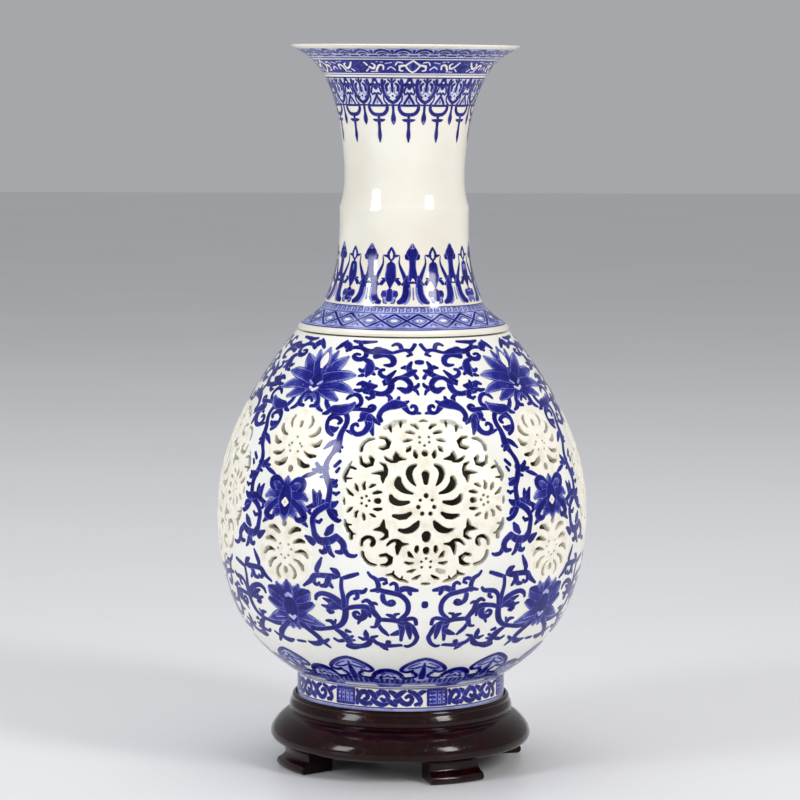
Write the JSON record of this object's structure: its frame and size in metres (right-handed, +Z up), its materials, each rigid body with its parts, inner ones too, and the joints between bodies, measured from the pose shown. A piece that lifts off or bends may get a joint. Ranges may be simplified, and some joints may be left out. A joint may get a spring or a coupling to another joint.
{
  "type": "porcelain vase",
  "caption": "Blue-and-white baluster vase with pierced openwork belly, flared keyed neck and turning inner vase, on a turned hardwood stand with block feet.",
  "frame": {"origin": "on the table plane, under the middle of the stand", "axes": "+Z up along the vase's axis; -Y points out through the middle of one large openwork medallion, and +X, +Y and -X through the other large ones"},
  "size_m": [0.206, 0.206, 0.4],
  "materials": {
    "neck_glaze": "cream-white glaze with cobalt painting, glossy",
    "belly_glaze": "cream-white glaze with dense cobalt painting, pierced panels paler and less glossy",
    "base_glaze": "cream-white glaze with a cobalt border, unglazed resting edge",
    "biscuit": "unglazed fired porcelain",
    "inner_glaze": "grey-white glaze",
    "ring_lacquer": "very dark red-brown polished lacquer",
    "foot_lacquer": "very dark red-brown polished lacquer",
    "board_wood": "stained hardwood, dull",
    "peg_wood": "plain hardwood"
  },
  "bodies": {
    "stand": {"stand_ring": "ring_lacquer", "stand_board": "board_wood", "stand_foot_a": "foot_lacquer", "stand_foot_b": "foot_lacquer", "stand_foot_c": "foot_lacquer", "stand_foot_d": "foot_lacquer", "stand_peg_a": "peg_wood", "stand_peg_b": "peg_wood", "stand_peg_c": "peg_wood", "stand_peg_d": "peg_wood"},
    "outer_vase": {"outer_belly": "belly_glaze", "vase_base": "base_glaze", "pivot_cone": "biscuit"},
    "inner_rotor": {"inner_vase": "inner_glaze"},
    "neck_piece": {"neck": "neck_glaze"}
  },
  "joints": [
    {"name": "vase_lift", "type": "slide", "parent": "stand", "child": "outer_vase", "axis": [0, 0, 1], "range_m": [0, 0.06]},
    {"name": "inner_spin", "type": "hinge", "parent": "outer_vase", "child": "inner_rotor", "pos_m": [0, 0, 0.0669], "axis": [0, 0, 1], "continuous": true},
    {"name": "neck_lift", "type": "slide", "parent": "inner_rotor", "child": "neck_piece", "axis": [0, 0, 1], "range_m": [0, 0.05]}
  ]
}
